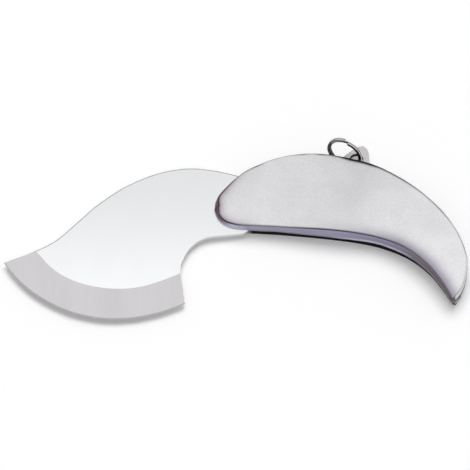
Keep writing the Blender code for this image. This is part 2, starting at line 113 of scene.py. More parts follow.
def newMaterial(name, metallic, roughness):
    material = bpy.data.materials.new(name)
    material.use_nodes = True
    shader = material.node_tree.nodes["Principled BSDF"]
    shader.inputs["Metallic"].default_value = metallic
    shader.inputs["Roughness"].default_value = roughness
    return material, material.node_tree, shader


def newObject(name, data):
    item = bpy.data.objects.new(name, data)
    bpy.context.scene.collection.objects.link(item)
    return item


def placePiece(name, bm, materials, body, node, sharpDegrees=None):
    mesh = bpy.data.meshes.new(name)
    bm.to_mesh(mesh)
    bm.free()
    for material in materials:
        mesh.materials.append(material)
    if sharpDegrees:
        mesh.shade_smooth()
        mesh.set_sharp_from_angle(angle=math.radians(sharpDegrees))
    piece = newObject(name, mesh)
    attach(piece, body)
    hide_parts(node)
    return piece


# Camera and light.

def setCamera():
    angle = math.radians(photo["elevation"])
    back = Vector((0, -math.cos(angle), math.sin(angle)))
    data = bpy.data.cameras.new("photo")
    data.sensor_width = photo["sensor"]
    data.lens = photo["sensor"] * photo["distance"] / (photo["pixels"] * photo["pixelSize"])
    data.clip_start = photo["distance"] / 100
    camera = newObject("photo", data)
    camera.location = Vector(photo["centre"]) + back * photo["distance"]
    camera.rotation_euler = (math.pi / 2 - angle, 0, 0)
    bpy.context.scene.camera = camera
    bpy.context.scene.view_settings.view_transform = "Standard"


def setWorld():
    world = bpy.data.worlds.new("studio")
    bpy.context.scene.world = world
    world.use_nodes = True
    tree = world.node_tree
    tree.nodes.clear()
    direction = addNode(tree, "ShaderNodeTexCoord")
    split = addNode(tree, "ShaderNodeSeparateXYZ", {0: direction.outputs["Generated"]})
    # The tent is white overhead and greyer towards the table, as between two soft boxes.
    tent = addNode(tree, "ShaderNodeMapRange", {
        "Value": split.outputs["Z"], "From Min": 0.0, "From Max": light["horizonShare"],
        "To Min": light["horizonLevel"], "To Max": light["shownLevel"]}, interpolation_type="SMOOTHSTEP")
    rays = addNode(tree, "ShaderNodeLightPath")
    mirror = addNode(tree, "ShaderNodeMath", {
        0: rays.outputs["Is Glossy Ray"], 1: rays.outputs["Is Transmission Ray"]}, operation="MAXIMUM")
    level = addNode(tree, "ShaderNodeMix", {
        0: mirror.outputs[0], 2: light["roomLevel"], 3: tent.outputs["Result"]}, data_type="FLOAT")
    shown = addNode(tree, "ShaderNodeMix", {
        0: rays.outputs["Is Camera Ray"], 2: level.outputs[0], 3: light["shownLevel"]}, data_type="FLOAT")
    background = addNode(tree, "ShaderNodeBackground", {"Color": (1, 1, 1, 1), "Strength": shown.outputs[0]})
    addNode(tree, "ShaderNodeOutputWorld", {"Surface": background.outputs[0]})


def squareSheet(name, half):
    mesh = bpy.data.meshes.new(name)
    corners = [(-half, -half, 0), (half, -half, 0), (half, half, 0), (-half, half, 0)]
    mesh.from_pydata(corners, [], [(0, 1, 2, 3)])
    return newObject(name, mesh)


def setPaper():
    paper = squareSheet("paper", light["paperHalf"])
    paper.location = (photo["centre"][0], photo["centre"][1], -light["paperDrop"])
    # White paper: matt and even, with nothing for the eye but the shadow on it.
    material, tree, shader = newMaterial("white_paper", 0, light["paperRoughness"])
    shader.inputs["Base Color"].default_value = toLinear(light["paper"])
    shader.inputs["Specular IOR Level"].default_value = 0
    rays = addNode(tree, "ShaderNodeLightPath")
    lift = addNode(tree, "ShaderNodeMath", {
        0: rays.outputs["Is Camera Ray"], 1: light["paperLift"]}, operation="MULTIPLY")
    shader.inputs["Emission Color"].default_value = (1, 1, 1, 1)
    tree.links.new(lift.outputs[0], shader.inputs["Emission Strength"])
    paper.data.materials.append(material)


def setKeyLamp():
    # A wide soft box behind the knife, far enough off to light the paper evenly.
    data = bpy.data.lights.new("key", "SUN")
    angle, turn = math.radians(light["keyElevation"]), math.radians(light["keyTurn"])
    data.energy = light["keyLevel"] * math.pi / math.sin(angle)
    data.angle = math.radians(light["keySpread"])
    lamp = newObject("key", data)
    flat = math.cos(angle)
    toLamp = Vector((-math.sin(turn) * flat, math.cos(turn) * flat, math.sin(angle)))
    lamp.location = Vector(photo["centre"]) + toLamp * light["cardDistance"]
    lamp.rotation_euler = toLamp.to_track_quat("Z", "Y").to_euler()
    lamp.visible_glossy = False


def setCard():
    # A lit card behind the knife, which only polished faces see. It grows brighter downwards.
    card = squareSheet("card", light["cardSize"] / 2)
    angle = math.radians(photo["elevation"])
    toCard = Vector((0, math.cos(angle), math.sin(angle)))
    card.location = Vector(photo["centre"]) + toCard * light["cardDistance"]
    card.rotation_euler = toCard.to_track_quat("Z", "Y").to_euler()
    material = bpy.data.materials.new("card")
    material.use_nodes = True
    tree = material.node_tree
    tree.nodes.clear()
    place = addNode(tree, "ShaderNodeTexCoord")
    split = addNode(tree, "ShaderNodeSeparateXYZ", {0: place.outputs["Object"]})
    level = addNode(tree, "ShaderNodeMapRange", {
        "Value": split.outputs["Y"], "From Min": light["cardFade"][0], "From Max": light["cardFade"][1],
        "To Min": light["cardTop"], "To Max": light["cardBottom"]}, interpolation_type="SMOOTHSTEP")
    glow = addNode(tree, "ShaderNodeEmission", {"Color": (1, 1, 1, 1), "Strength": level.outputs["Result"]})
    addNode(tree, "ShaderNodeOutputMaterial", {"Surface": glow.outputs[0]})
    card.data.materials.append(material)
    card.visible_camera = False
    card.visible_diffuse = False
    card.visible_shadow = False


setCamera()
setWorld()
setPaper()
setKeyLamp()
setCard()
print("camera and light: done")


# Outlines read from the frame.

tolerance = {
    "same": 0.001 * mm,  # two points, or two heights, count as one
    "level": 0.01 * mm,
    "flatDegrees": 0.05,
    "wallTilt": 0.5,  # the most that a wall's normal rises
}


def cleanCopy(node, dissolve=True):
    bm = bmesh.new()
    bm.from_mesh(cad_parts[node].data)
    bmesh.ops.remove_doubles(bm, verts=bm.verts, dist=tolerance["same"])
    if dissolve:
        bmesh.ops.dissolve_limit(bm, angle_limit=math.radians(tolerance["flatDegrees"]), verts=bm.verts,
                                 edges=bm.edges)
    return bm


def longestLoop(node, height):
    # The longest chain of sharp edges at one height, counter-clockwise from above.
    bm = cleanCopy(node)
    near = {}
    for edge in bm.edges:
        level = all(abs(v.co.z - height) < tolerance["level"] for v in edge.verts)
        if not level or len(edge.link_faces) != 2:
            continue
        if min(abs(f.normal.z) for f in edge.link_faces) < tolerance["wallTilt"]:
            a, b = edge.verts
            near.setdefault(a, []).append(b)
            near.setdefault(b, []).append(a)
    loops = []
    while near:
        loop = [next(iter(near))]
        while True:
            onward = [v for v in near.pop(loop[-1], []) if v in near]
            if not onward:
                break
            loop.append(onward[0])
        loops.append([v.co.xy.copy() for v in loop])
    bm.free()
    best = max(loops, key=lambda loop: sum((b - a).length for a, b in zip(loop, loop[1:])))
    area = sum(a.cross(b) for a, b in zip(best, best[1:] + best[:1]))
    return best if area > 0 else best[::-1]


def smoothPath(points, steps):
    # Catmull-Rom curve through the points.
    ends = [points[0] * 2 - points[1]] + list(points) + [points[-1] * 2 - points[-2]]
    path = []
    for k in range(1, len(ends) - 2):
        a, b, c, d = ends[k - 1:k + 3]
        for step in range(steps):
            t = step / steps
            path.append(0.5 * (2 * b + (c - a) * t + (2 * a - 5 * b + 4 * c - d) * t ** 2
                               + (3 * b - 3 * c + d - a) * t ** 3))
    path.append(points[-1])
    return path


def runAlong(points):
    # Each point's distance from the start, along the path.
    return np.concatenate([[0], np.cumsum(np.hypot(*np.diff(points, axis=0).T))])


def evenPath(path, shares):
    xy = np.array([tuple(p) for p in path])
    run = runAlong(xy)
    at = np.array(shares) * run[-1]
    return np.stack([np.interp(at, run, xy[:, 0]), np.interp(at, run, xy[:, 1])], axis=1)


def distancesTo(path, points):
    # Distance from each point to a path of straight stretches.
    a, b = path[:-1], path[1:]
    along = b - a
    reach = points[:, None] - a[None]
    share = np.clip((reach * along).sum(2) / (along * along).sum(1), 0, 1)
    return np.sqrt(((reach - along * share[..., None]) ** 2).sum(2)).min(1)


def readTable(at, table):
    return np.interp(at, *np.array(table).T)


# Small corrections of the plates' outline, the same for the cover and the sheets under it.
# A fade is (where it starts, the run over which it reaches its full size), in mm, towards lower values.

outline = {
    "hookShift": (-0.22 * mm, 0.3 * mm),
    "hookFade": (-6, 13),  # along Y
    "hookSide": 25,  # mm along X, with the hook beyond it
    "tipShift": (-0.5 * mm, 0.35 * mm),
    "tipFade": (-24, 4.4),  # along Y
    "tipEnd": (40.6, 2),  # along X
    # How far the nose is drawn out: (mm along Y, mm).
    "noseReach": [(0, 0.24), (1, 0.15), (2.4, 0.2), (3.8, 0.36), (5.2, 0.2), (6.8, 0)],
    "noseFade": (-24.5, 1.5),  # along X
    "noseDrop": -0.25 * mm,
    "dropFade": (-22.5, 2.5),  # along X
    "dropTop": (1.5, 1.5),  # along Y
    # How far the belly is drawn in: (mm along X, mm).
    "belly": [(-22, 0), (-18, 0.19), (-13.5, 0.32), (-9.3, 0.2), (-3.7, 0.07), (2, -0.03), (7.5, -0.03),
              (13.1, 0.22), (16.2, 0.34), (18.7, 0.4), (21.3, 0.34), (24.3, 0.2), (28.5, -0.05),
              (33, -0.05), (37, 0)],
}


def fadeIn(values, start, run):
    return np.clip((start - values) / run, 0, 1)


def redrawn(points):
    points = np.array(points)
    x, y = points.T / mm
    hook = fadeIn(y, *outline["hookFade"]) * (x > outline["hookSide"])
    hook = hook ** 2 * (3 - 2 * hook)
    tip = fadeIn(y, *outline["tipFade"]) * fadeIn(x, *outline["tipEnd"])
    drop = fadeIn(x, *outline["dropFade"]) * fadeIn(y, *outline["dropTop"])
    moved = hook[:, None] * np.array(outline["hookShift"]) + tip[:, None] * np.array(outline["tipShift"])
    moved[:, 0] -= fadeIn(x, *outline["noseFade"]) * readTable(y, outline["noseReach"]) * mm
    moved[:, 1] += drop * outline["noseDrop"]
    return points + moved


def bellyDrawn(x):
    return readTable(x / mm, outline["belly"]) * mm


# Cover.

cover = {
    # Colours of face and wall: (share from nose to tail, colour). The wall's browns and darker lilacs are
    # painted shade and painted reflection.
    "faceSkin": [(0.0, "E1E0E2"), (0.2, "E5E5E7"), (0.48, "DEDEE0"), (0.62, "E6E6E8"), (0.8, "ECECEE"),
                 (1.0, "EBEAEE")],
    "wallSkinAndShade": [(0.0, "5F4A52"), (0.05, "7C6672"), (0.09, "B4B8C8"), (0.14, "B0ACC6"), (0.2, "B4B0CB"),
                 (0.45, "B4B0CB"), (0.55, "AAA5BE"), (0.66, "A6A1B9"), (0.8, "887E8A"), (1.0, "54464A")],
    # Painted shade: noseTone on the rounded face near the nose, tailTone beside the belly towards the tail.
    "noseTone": "AA9DAA",
    "tailTone": "A59FAD",
    # Painted shade: a dark line along the spine's edge.
    "line": "37292D",
    # Painted shade beside the belly's crease.
    "crease": "3C3542",
    "backSkin": "A5A2AC",
    # tailSkin is a painted highlight on the spine's wall at the tail.
    "tailSkin": "EDECF0",
    "faceRoughness": 0.52,
    "wallRoughness": 0.34,
    # Blasting leaves pits of about 0.1 mm, which don't show here: they are drawn four times as coarse.
    "grain": 0.42 * mm,
    "grainLevels": (0.935, 1.065),
    "grainDepth": 0.03 * mm,
    "grainStrength": 0.25,
    "cloud": 9 * mm,
    "cloudLevels": (0.95, 1.03),
    # The mesh: stations from nose to tail, and lanes across, in mm from each edge.
    "stations": 260,
    "pathSteps": 5,
    "edgeLanes": [0, 0.04, 0.08, 0.13, 0.19, 0.26, 0.34, 0.44, 0.56, 0.7, 0.86, 1.05, 1.3, 1.6, 1.95, 2.3],
    "edgeSpread": 2.6,  # where the face is narrow, each edge's lanes take up its width over this
    "middleLanes": 22,
    "wallRows": 8,
    # Height of the edge over the foot, and its share: (share from nose to tail, share of the height).
    "edgeHeight": 3.25 * mm,
    "heightShares": [(0.0, 0.5), (0.1, 0.61), (0.16, 0.68), (0.3, 0.74), (0.42, 0.93), (0.5, 1.0),
                     (0.78, 1.0), (0.9, 0.9), (1.0, 0.74)],
    "crown": 0.6 * mm,
    "spineRound": 0.3 * mm,
    "bellyRound": 0.25 * mm,
    # How far the face stands in from the foot of the wall: (mm from the nose, mm).
    "spineDraft": [(0, 1.0), (1, 0.85), (2, 0.62), (3.5, 0.27), (5, 0.1), (7, 0.05), (76, 0.05), (82, 0.15),
                   (86, 0.15), (90, 0.1), (94, 0.02), (200, 0.02)],
    "bellyDraft": [(0, 1.0), (1, 0.75), (2, 0.5), (4, 0.25), (6, 0.1), (8, 0.03), (12, 0.02), (200, 0.02)],
    "noseRun": 3,  # mm over which the draft turns from along X to square to the edge
    # How far the belly's edge lies below the spine's: (share from nose to tail, mm).
    "bellyDrop": [(0, 0), (0.04, 0.4), (0.09, 0.3), (0.14, 0.5), (0.21, 0.74), (0.265, 0.57), (0.336, 0.3),
                  (0.41, 0.04), (0.48, 0), (0.553, 0.29), (0.628, 0.7), (0.707, 0.2), (0.773, 0.1),
                  (0.845, 0), (0.917, 0), (1, 0)],
    # How strong the painted shade beside the belly's crease is: (share from nose to tail, level).
    "creaseLevels": [(0, 1), (0.09, 1), (0.13, 0.75), (0.2, 0.76), (0.3, 0.82), (0.4, 0.98), (0.5, 0.95),
                     (0.7, 0.82), (0.8, 0.62), (1, 0.6)],
    "creaseFrom": 0.1 * mm,
    # How strong the painted shade line along the spine's edge is: (mm along X, level).
    "lineLevels": [(-28, 1), (-23, 0.9), (-20.5, 0.5), (-17, 0.8), (-15.4, 0.85), (-12.9, 0.4), (-7.9, 0.3),
                   (-5.3, 0.45), (-2.8, 0.8), (-0.3, 0.45), (2.2, 1), (4.7, 0.8), (7, 1), (10.3, 1.7),
                   (16.2, 1.6), (18.2, 1.15), (20.1, 1), (24, 1), (28, 0.85), (32, 0.7), (36, 0.8),
                   (39, 0.45), (44, 0.6)],
    "lineWidth": 0.3 * mm,
    "lineCore": 0.14 * mm,
    "lineSpread": (0.6, 0.9),  # its width at level 0, and what level 1 adds
    # Along the tail the line is weaker, between these heights along Y.
    "weakTail": (-12 * mm, -16 * mm),
    "weakShare": 0.6,
    # Width and reach of the painted shade near the nose, and of the one beside the belly at the tail.
    "noseToneWidth": 1.5 * mm,
    "noseToneReach": (1.5, 10 * mm),  # its level at the nose, and how far off it has lost 1
    "tailToneWidth": 2.35 * mm,
    "tailToneFrom": (0.38, 0.32),  # share where it starts, and the run to its full level
    # The spine's wall: shares over which its grey and the painted highlight at the tail come in, and where
    # they end before the tip.
    "backFrom": 0.06,
    "tailFrom": (0.7, 0.15),
    "paleEnd": 0.006,
    "footLine": 0.7,
    "sharpDegrees": 40,
}


def coverMaterial():
    # Aluminium, die cast and bead blasted on the face: a pale, dry, sandy satin. Its walls keep the smoother
    # skin of the mould; their darker colours, brown at both ends and lilac between, are painted shade and
    # painted reflection.
    material, tree, shader = newMaterial("blasted_cast_aluminium", 1, cover["faceRoughness"])
    place = addNode(tree, "ShaderNodeTexCoord")
    cloud = addNode(tree, "ShaderNodeTexNoise", {
        "Vector": place.outputs["Object"], "Scale": 1 / cover["cloud"], "Detail": 3, "Roughness": 0.6})
    grain = addNode(tree, "ShaderNodeTexNoise", {
        "Vector": place.outputs["Object"], "Scale": 1 / cover["grain"], "Detail": 2, "Roughness": 0.6})
    shade = addNode(tree, "ShaderNodeMapRange", {
        "Value": cloud.outputs["Fac"], **noiseSpan,
        "To Min": cover["cloudLevels"][0], "To Max": cover["cloudLevels"][1]})
    speck = addNode(tree, "ShaderNodeMapRange", {
        "Value": grain.outputs["Fac"], **noiseSpan,
        "To Min": cover["grainLevels"][0], "To Max": cover["grainLevels"][1]})
    both = addNode(tree, "ShaderNodeMath", {
        0: shade.outputs["Result"], 1: speck.outputs["Result"]}, operation="MULTIPLY")
    run = addNode(tree, "ShaderNodeAttribute", attribute_name="run")
    face = addNode(tree, "ShaderNodeValToRGB", {0: run.outputs["Fac"]})
    wall = addNode(tree, "ShaderNodeValToRGB", {0: run.outputs["Fac"]})
    fillRamp(face, cover["faceSkin"])
    fillRamp(wall, cover["wallSkinAndShade"])
    colour = face.outputs[0]
    # Each tone lies over the ones before it, as strong as the mesh's attribute of that name. noseTone,
    # tailTone, crease and line are painted shade, wall is partly painted shade, and tail is a painted
    # highlight.
    for name, tone in (("noseTone", toLinear(cover["noseTone"])), ("tailTone", toLinear(cover["tailTone"])),
                       ("wall", wall.outputs[0]), ("back", toLinear(cover["backSkin"])),
                       ("tail", toLinear(cover["tailSkin"])), ("crease", toLinear(cover["crease"])),
                       ("line", toLinear(cover["line"]))):
        weight = addNode(tree, "ShaderNodeAttribute", attribute_name=name)
        mix = addNode(tree, "ShaderNodeMix", {0: weight.outputs["Fac"], 6: colour, 7: tone}, data_type="RGBA")
        colour = mix.outputs[2]
        if name == "wall":
            rough = addNode(tree, "ShaderNodeMapRange", {
                "Value": weight.outputs["Fac"], "To Min": cover["faceRoughness"],
                "To Max": cover["wallRoughness"]})
    grained = addNode(tree, "ShaderNodeVectorMath", {0: colour, "Scale": both.outputs[0]}, operation="SCALE")
    bump = addNode(tree, "ShaderNodeBump", {
        "Height": grain.outputs["Fac"], "Strength": cover["grainStrength"], "Distance": cover["grainDepth"]})
    tree.links.new(grained.outputs[0], shader.inputs["Base Color"])
    tree.links.new(rough.outputs["Result"], shader.inputs["Roughness"])
    tree.links.new(bump.outputs["Normal"], shader.inputs["Normal"])
    return material


def roundDrop(distance, radius):
    inside = np.clip(radius - distance, 0, radius)
    return radius - np.sqrt(radius ** 2 - inside ** 2)


def drawnIn(points, draft, side):
    # The edge of the face: the foot's outline moved inwards by the draft. At the nose it moves along X,
    # so that both edges keep apart there.
    run = runAlong(points) / mm
    ahead = np.gradient(points, axis=0)
    inwards = np.stack([ahead[:, 1], -ahead[:, 0]], axis=1) * side
    inwards /= np.hypot(*inwards.T)[:, None]
    blend = np.clip(run / cover["noseRun"], 0, 1)[:, None]
    inwards = inwards * blend + np.array((1, 0)) * (1 - blend)
    inwards /= np.hypot(*inwards.T)[:, None]
    return points + inwards * readTable(run, draft)[:, None] * mm


def coverFeet(low, stations):
    # Belly and spine of the solid's foot, from nose to tail, with the outline's corrections.
    loop = longestLoop("front_cover", low)
    nose = min(range(len(loop)), key=lambda k: (round(loop[k].x, 5), loop[k].y))
    loop = loop[nose:] + loop[:nose]
    hook = min(range(len(loop)), key=lambda k: loop[k].y)
    belly = redrawn(evenPath(smoothPath(loop[:hook], cover["pathSteps"]), stations))
    spine = redrawn(evenPath(smoothPath(loop[:hook - 1:-1], cover["pathSteps"]), stations))
    belly[:, 1] += bellyDrawn(belly[:, 0])
    return belly, spine


def coverLanes(spineEdge, bellyEdge):
    # Points of the face, station by station, and the share of the width at which each lies.
    edge = np.array(cover["edgeLanes"]) * mm
    points, lanes = [], []
    for a, b in zip(spineEdge, bellyEdge):
        width = math.hypot(*(b - a))
        near = edge * min(1, width / (cover["edgeSpread"] * edge[-1]))
        middle = np.linspace(near[-1], width - near[-1], cover["middleLanes"] + 2)[1:-1]
        across = np.concatenate([near, middle, (width - near)[::-1]]) / width
        points.append(a + (b - a) * across[:, None])
        lanes.append(across)
    return np.array(points), np.array(lanes)


def coverWeights(points, lanes, along, toSpine, toBelly, toNose):
    # How strong each tone is at each point of the face.
    # Painted shade: the dark line along the spine's edge.
    level = readTable(points[..., 0] / mm, cover["lineLevels"])
    weakStart, weakEnd = cover["weakTail"]
    weak = np.clip((points[..., 1] - weakStart) / (weakEnd - weakStart), 0, 1)
    narrow, wider = cover["lineSpread"]
    lineReach = cover["lineWidth"] * (narrow + wider * level)
    beyondCore = np.maximum(0, toSpine - cover["lineCore"] * level)
    line = np.minimum(1, level * np.exp(-(beyondCore / lineReach) ** 2))
    noseLevel, noseReach = cover["noseToneReach"]
    nose = np.exp(-(np.minimum(toSpine, toBelly) / cover["noseToneWidth"]) ** 1.5)
    tailStart, tailRun = cover["tailToneFrom"]
    # Painted shade beside the belly's crease.
    crease = np.exp(-((toBelly - cover["creaseFrom"]) / cover["lineWidth"]) ** 2)
    none = np.zeros(lanes.shape)
    return {
        "line": line * (1 - cover["weakShare"] * weak),
        "crease": readTable(along, cover["creaseLevels"]) * crease,
        "noseTone": nose * np.clip(noseLevel - toNose / noseReach, 0, 1),
        "tailTone": (np.exp(-(toBelly / cover["tailToneWidth"]) ** 2)
                     * np.clip((along - tailStart) / tailRun, 0, 1)),
        "wall": none,
        "back": none,
        "tail": none,
        "run": np.broadcast_to(along, lanes.shape),
    }


def makeCover():
    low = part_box("front_cover")[0].z
    count = cover["stations"]
    stations = [(1 - math.cos(math.pi * k / count)) / 2 for k in range(count + 1)]
    bellyFoot, spineFoot = coverFeet(low, stations)
    bellyEdge = drawnIn(bellyFoot, cover["bellyDraft"], -1)
    spineEdge = drawnIn(spineFoot, cover["spineDraft"], 1)
    points, lanes = coverLanes(spineEdge, bellyEdge)
    flat = points.reshape(-1, 2)
    toSpine = distancesTo(spineEdge, flat).reshape(lanes.shape)
    toBelly = distancesTo(bellyEdge, flat).reshape(lanes.shape)
    toNose = np.hypot(*(flat - spineFoot[0]).T).reshape(lanes.shape)
    along = np.array(stations)[:, None]
    crown = cover["crown"] * np.sin(math.pi * lanes) * np.sqrt(np.sin(math.pi * along))
    height = low + cover["edgeHeight"] * readTable(along, cover["heightShares"]) + crown
    height -= roundDrop(toSpine, cover["spineRound"]) + roundDrop(toBelly, cover["bellyRound"])
    height -= readTable(along, cover["bellyDrop"]) * lanes * mm
    weights = coverWeights(points, lanes, along, toSpine, toBelly, toNose)

    bm = bmesh.new()
    layers = {name: bm.verts.layers.float.new(name) for name in weights}
    top = []
    for row in range(count + 1):
        line = []
        for lane in range(lanes.shape[1]):
            vert = bm.verts.new((*points[row, lane], height[row, lane]))
            for name, layer in layers.items():
                vert[layer] = weights[name][row, lane]
            line.append(vert)
        top.append(line)
    for first, second in zip(top, top[1:]):
        for k in range(len(first) - 1):
            bm.faces.new((first[k], first[k + 1], second[k + 1], second[k]))

    # The wall leaves the face at a crease and rounds down to the foot: belly, tip, spine and nose in turn.
    ends = lanes.shape[1] - 2
    rim = [line[-1] for line in top] + top[-1][-2:0:-1] + [line[0] for line in reversed(top)] + top[0][1:-1]
    across = np.arange(1, ends + 1)[:, None] / (ends + 1)
    foot = list(bellyFoot) + list(bellyFoot[-1] + (spineFoot[-1] - bellyFoot[-1]) * across)
    foot += list(spineFoot[::-1]) + list(spineFoot[0] + (bellyFoot[0] - spineFoot[0]) * across)
    runs = stations + [1] * ends + stations[::-1] + [0] * ends
    spineSide = [0] * (count + 1 + ends) + [1] * (count + 1) + [0] * ends
    tailStart, tailRun = cover["tailFrom"]
    previous = rim
    for step in range(1, cover["wallRows"] + 1):
        share = step / cover["wallRows"]
        turn = math.pi / 2 * share
        lower = []
        for vert, spot, run, back in zip(rim, foot, runs, spineSide):
            x = vert.co.x + (spot[0] - vert.co.x) * math.sin(turn)
            y = vert.co.y + (spot[1] - vert.co.y) * math.sin(turn)
            z = low + (vert.co.z - low) * math.cos(turn)
            point = bm.verts.new((x, y, z))
            pale = back * min(1, max(0, (1 - run) / cover["paleEnd"] - 1))
            point[layers["wall"]] = 1
            point[layers["run"]] = run
            point[layers["back"]] = pale * min(1, run / cover["backFrom"])
            # Painted highlight on the spine's wall at the tail.
            point[layers["tail"]] = pale * min(1, max(0, run - tailStart) / tailRun)
            # Painted shade: a dark line along the foot of the spine's wall.
            point[layers["line"]] = back * cover["footLine"] * share ** 8
            lower.append(point)
        for k in range(len(rim)):
            bm.faces.new((previous[k - 1], previous[k], lower[k], lower[k - 1]))
        previous = lower
    bm.faces.new(previous)
    bmesh.ops.recalc_face_normals(bm, faces=bm.faces)
    piece = placePiece("cover", bm, [coverMaterial()], "handle", "front_cover",
                       cover["sharpDegrees"])
    piece.visible_glossy = False  # the polished blade would show it as a dark patch


makeCover()
print("cover: done")


# Blade.

blade = {
    "flat": "F6F7F8",
    "flatRoughness": (0.1, 0.15),
    "haze": 6 * mm,
    "ground": "D3D0D3",
    "groundRoughness": 0.34,
    # A fine belt leaves lines of about 0.05 mm, which don't show here: they are drawn four times as coarse.
    "scratch": 0.22 * mm,
    "scratchLength": 9 * mm,
    "scratchLevels": (0.975, 1.02),
    "scratchDepth": 0.01 * mm,
    "scratchStrength": 0.15,
    "band": 7 * mm,
    "bandStretch": 10,
    "bandLevels": (0.965, 1.035),
    # The bevel's last stretch has painted shade: darker between these heights off the blade's middle.
    "edgeShadeRise": (0.072 * mm, 0.09 * mm),
    "edgeShadeLevel": 0.62,
    # Painted shade: the corner's grey is darker than the steel's own, for a dark line along the back.
    "corner": "A9ABAE",
    "cornerRoughness": 0.32,
    "cornerMarks": 0.5 * mm,
    "cornerLevels": (0.9, 1.06),
    "chamferWidth": 0.28 * mm,
    "chamferDepth": 0.13 * mm,
    # How far the edge is drawn in: (mm along X, mm).
    "edgeLift": [(-86, 0.05), (-82, 0), (-74, 0.15), (-68, 0.12), (-62.5, 0.22), (-57, 0.32), (-51, 0.52),
                 (-45.7, 0.65), (-40, 0.65), (-36, 0.48)],
    "edgeReach": 0.1 * mm,  # the edge's corners lie this near to the blade's middle
    # How far a normal rises on the flats, and at least on the bevel, and at most on the sides.
    "flatTilt": 0.99995,
    "bevelTilt": 0.97,
    "sideTilt": 0.1,
    "sharpDegrees": 30,
}


def polishedSteel():
    # Stainless steel, mirror polished: it shows the tent almost unblurred.
    material, tree, shader = newMaterial("polished_stainless_steel", 1, blade["flatRoughness"][0])
    place = addNode(tree, "ShaderNodeTexCoord")
    haze = addNode(tree, "ShaderNodeTexNoise", {
        "Vector": place.outputs["Object"], "Scale": 1 / blade["haze"], "Detail": 2})
    rough = addNode(tree, "ShaderNodeMapRange", {
        "Value": haze.outputs["Fac"], **noiseSpan,
        "To Min": blade["flatRoughness"][0], "To Max": blade["flatRoughness"][1]})
    shader.inputs["Base Color"].default_value = toLinear(blade["flat"])
    tree.links.new(rough.outputs["Result"], shader.inputs["Roughness"])
    return material


def cornerSteel():
    # The same steel where the back's corners are broken on a fine belt: a duller grey line, darkened further
    # as painted shade.
    material, tree, shader = newMaterial("belted_stainless_steel", 1, blade["cornerRoughness"])
    place = addNode(tree, "ShaderNodeTexCoord")
    marks = addNode(tree, "ShaderNodeTexNoise", {
        "Vector": place.outputs["Object"], "Scale": 1 / blade["cornerMarks"], "Detail": 3})
    shade = addNode(tree, "ShaderNodeMapRange", {
        "Value": marks.outputs["Fac"], **noiseSpan,
        "To Min": blade["cornerLevels"][0], "To Max": blade["cornerLevels"][1]})
    colour = addNode(tree, "ShaderNodeVectorMath", {
        0: toLinear(blade["corner"])[:3], "Scale": shade.outputs["Result"]}, operation="SCALE")
    tree.links.new(colour.outputs[0], shader.inputs["Base Color"])
    return material


def groundSteel():
    # Stainless steel, ground across the edge: satin, with fine lines that run up from the edge.
    material, tree, shader = newMaterial("ground_stainless_steel", 1, blade["groundRoughness"])
    place = addNode(tree, "ShaderNodeTexCoord")
    narrow = addNode(tree, "ShaderNodeMapping", {
        "Vector": place.outputs["Object"],
        "Scale": (1 / blade["scratch"], 1 / blade["scratchLength"], 1 / blade["scratchLength"])})
    lines = addNode(tree, "ShaderNodeTexNoise", {
        "Vector": narrow.outputs[0], "Scale": 1, "Detail": 3, "Roughness": 0.7})
    bandLength = blade["bandStretch"] * blade["band"]
    wide = addNode(tree, "ShaderNodeMapping", {
        "Vector": place.outputs["Object"], "Scale": (1 / blade["band"], 1 / bandLength, 1 / bandLength)})
    bands = addNode(tree, "ShaderNodeTexNoise", {"Vector": wide.outputs[0], "Scale": 1, "Detail": 2})
    shade = addNode(tree, "ShaderNodeMapRange", {
        "Value": lines.outputs["Fac"], **noiseSpan,
        "To Min": blade["scratchLevels"][0], "To Max": blade["scratchLevels"][1]})
    band = addNode(tree, "ShaderNodeMapRange", {
        "Value": bands.outputs["Fac"], **noiseSpan,
        "To Min": blade["bandLevels"][0], "To Max": blade["bandLevels"][1]})
    both = addNode(tree, "ShaderNodeMath", {
        0: shade.outputs["Result"], 1: band.outputs["Result"]}, operation="MULTIPLY")
    # Close to the edge, where the bevel has fallen to the blade's middle, a darker line of painted shade.
    low, high = (corner.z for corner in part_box("blade"))
    split = addNode(tree, "ShaderNodeSeparateXYZ", {0: place.outputs["Object"]})
    offMiddle = addNode(tree, "ShaderNodeMath", {
        0: split.outputs["Z"], 1: (low + high) / 2}, operation="SUBTRACT")
    rise = addNode(tree, "ShaderNodeMath", {0: offMiddle.outputs[0]}, operation="ABSOLUTE")
    edgeShade = addNode(tree, "ShaderNodeMapRange", {
        "Value": rise.outputs[0], "From Min": blade["edgeShadeRise"][0], "From Max": blade["edgeShadeRise"][1],
        "To Min": blade["edgeShadeLevel"], "To Max": 1.0})
    level = addNode(tree, "ShaderNodeMath", {0: both.outputs[0], 1: edgeShade.outputs["Result"]},
                    operation="MULTIPLY")
    colour = addNode(tree, "ShaderNodeVectorMath", {
        0: toLinear(blade["ground"])[:3], "Scale": level.outputs[0]}, operation="SCALE")
    bump = addNode(tree, "ShaderNodeBump", {
        "Height": lines.outputs["Fac"], "Strength": blade["scratchStrength"],
        "Distance": blade["scratchDepth"]})
    tree.links.new(colour.outputs[0], shader.inputs["Base Color"])
    tree.links.new(bump.outputs["Normal"], shader.inputs["Normal"])
    return material


def backCorners(bm, low, high):
    # The level corners between the flats and the back, above and below.
    corners = []
    for edge in bm.edges:
        if len(edge.link_faces) != 2:
            continue
        side, flat = sorted(edge.link_faces, key=lambda f: abs(f.normal.z))
        z = edge.verts[0].co.z
        level = abs(z - edge.verts[1].co.z) < tolerance["same"]
        outer = min(abs(z - low), abs(z - high)) < tolerance["same"]
        steep = abs(side.normal.z) < blade["sideTilt"] and side.normal.y > blade["sideTilt"]
        if steep and abs(flat.normal.z) > blade["flatTilt"] and level and outer:
            corners.append(edge)
    return corners


